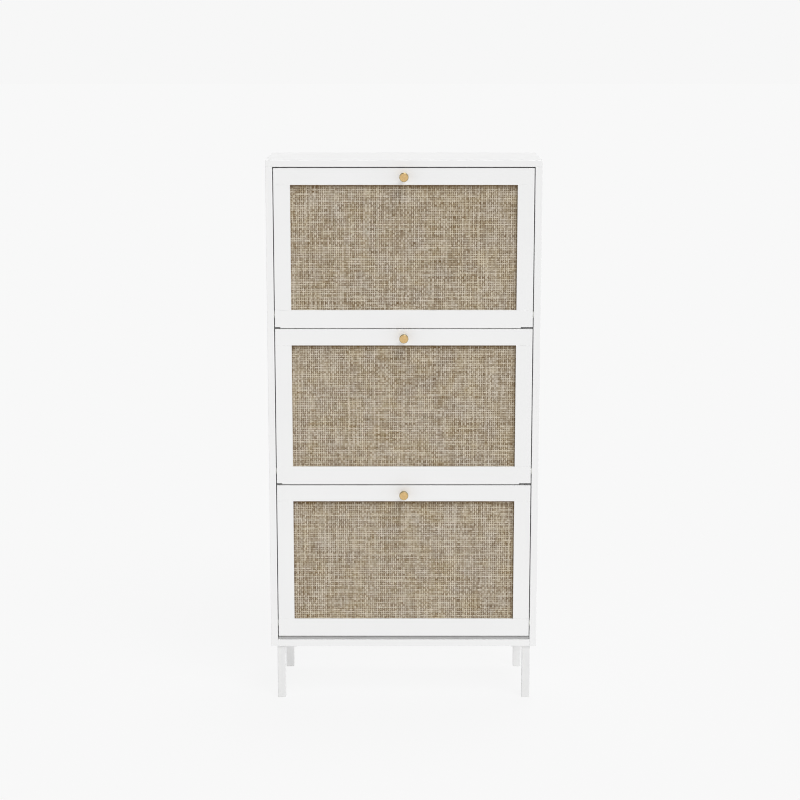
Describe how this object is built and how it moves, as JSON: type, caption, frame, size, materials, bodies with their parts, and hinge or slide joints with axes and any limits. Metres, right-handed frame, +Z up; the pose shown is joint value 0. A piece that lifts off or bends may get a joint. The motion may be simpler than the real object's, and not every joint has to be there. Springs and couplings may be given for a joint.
{
  "type": "shoe cabinet",
  "caption": "Tall narrow shoe cabinet on square legs, with tip-out flaps faced in woven cloth, a turned knob on each flap, and trays that swing out with it.",
  "frame": {"origin": "on the floor, under the middle of the cabinet's footprint with its knobs", "axes": "+X to the right as seen from the front, the front faces -Y, +Z up"},
  "size_m": [0.6, 0.265, 1.22],
  "materials": {
    "white_lacquer": "satin white lacquer on fibreboard",
    "white_back_board": "thin white hardboard",
    "white_tray_board": "white melamine board",
    "brown_board": "brown plywood",
    "woven_cloth": "coarse beige and brown weave",
    "brass": "satin brass",
    "white_steel": "white powder coat",
    "zinc_steel": "zinc plated",
    "zinc_casting": "dull zinc casting",
    "white_plastic": "moulded white plastic",
    "nylon": "natural nylon",
    "grey_plastic": "grey moulded plastic"
  },
  "bodies": {
    "cabinet": {"top_panel": "white_lacquer", "left_side_panel": "white_lacquer", "right_side_panel": "white_lacquer", "bottom_panel": "white_lacquer", "back_panel": "white_back_board", "hanging_rail": "white_lacquer", "upper_divider_rail": "white_lacquer", "lower_divider_rail": "white_lacquer", "front_left_leg": "white_steel", "front_right_leg": "white_steel", "rear_left_leg": "white_steel", "rear_right_leg": "white_steel", "case_fasteners": "zinc_steel", "leg_glides": "grey_plastic", "pivot_bushes": "nylon", "stop_pins": "zinc_steel", "cam_locks": "zinc_casting", "cam_bolts": "zinc_steel"},
    "upper_flap": {"upper_top_rail": "white_lacquer", "upper_bottom_rail": "white_lacquer", "upper_left_stile": "white_lacquer", "upper_right_stile": "white_lacquer", "upper_woven_panel": "woven_cloth", "upper_backing_board": "brown_board", "upper_knob": "brass", "upper_knob_screw": "zinc_steel", "upper_left_bracket": "white_plastic", "upper_right_bracket": "white_plastic", "upper_lower_tray": "white_tray_board", "upper_upper_tray": "white_tray_board", "upper_pivot_pins": "zinc_steel", "upper_bracket_screws": "zinc_steel"},
    "middle_flap": {"middle_top_rail": "white_lacquer", "middle_bottom_rail": "white_lacquer", "middle_left_stile": "white_lacquer", "middle_right_stile": "white_lacquer", "middle_woven_panel": "woven_cloth", "middle_backing_board": "brown_board", "middle_knob": "brass", "middle_knob_screw": "zinc_steel", "middle_left_bracket": "white_plastic", "middle_right_bracket": "white_plastic", "middle_lower_tray": "white_tray_board", "middle_upper_tray": "white_tray_board", "middle_pivot_pins": "zinc_steel", "middle_bracket_screws": "zinc_steel"},
    "lower_flap": {"lower_top_rail": "white_lacquer", "lower_bottom_rail": "white_lacquer", "lower_left_stile": "white_lacquer", "lower_right_stile": "white_lacquer", "lower_woven_panel": "woven_cloth", "lower_backing_board": "brown_board", "lower_knob": "brass", "lower_knob_screw": "zinc_steel", "lower_left_bracket": "white_plastic", "lower_right_bracket": "white_plastic", "lower_lower_tray": "white_tray_board", "lower_upper_tray": "white_tray_board", "lower_pivot_pins": "zinc_steel", "lower_bracket_screws": "zinc_steel"}
  },
  "joints": [
    {"name": "upper_flap_hinge", "type": "hinge", "parent": "cabinet", "child": "upper_flap", "pos_m": [0, -0.1, 0.8823], "axis": [1, 0, 0], "range_deg": [0, 48]},
    {"name": "middle_flap_hinge", "type": "hinge", "parent": "cabinet", "child": "middle_flap", "pos_m": [0, -0.1, 0.5301], "axis": [1, 0, 0], "range_deg": [0, 48]},
    {"name": "lower_flap_hinge", "type": "hinge", "parent": "cabinet", "child": "lower_flap", "pos_m": [0, -0.1, 0.1771], "axis": [1, 0, 0], "range_deg": [0, 48]}
  ]
}
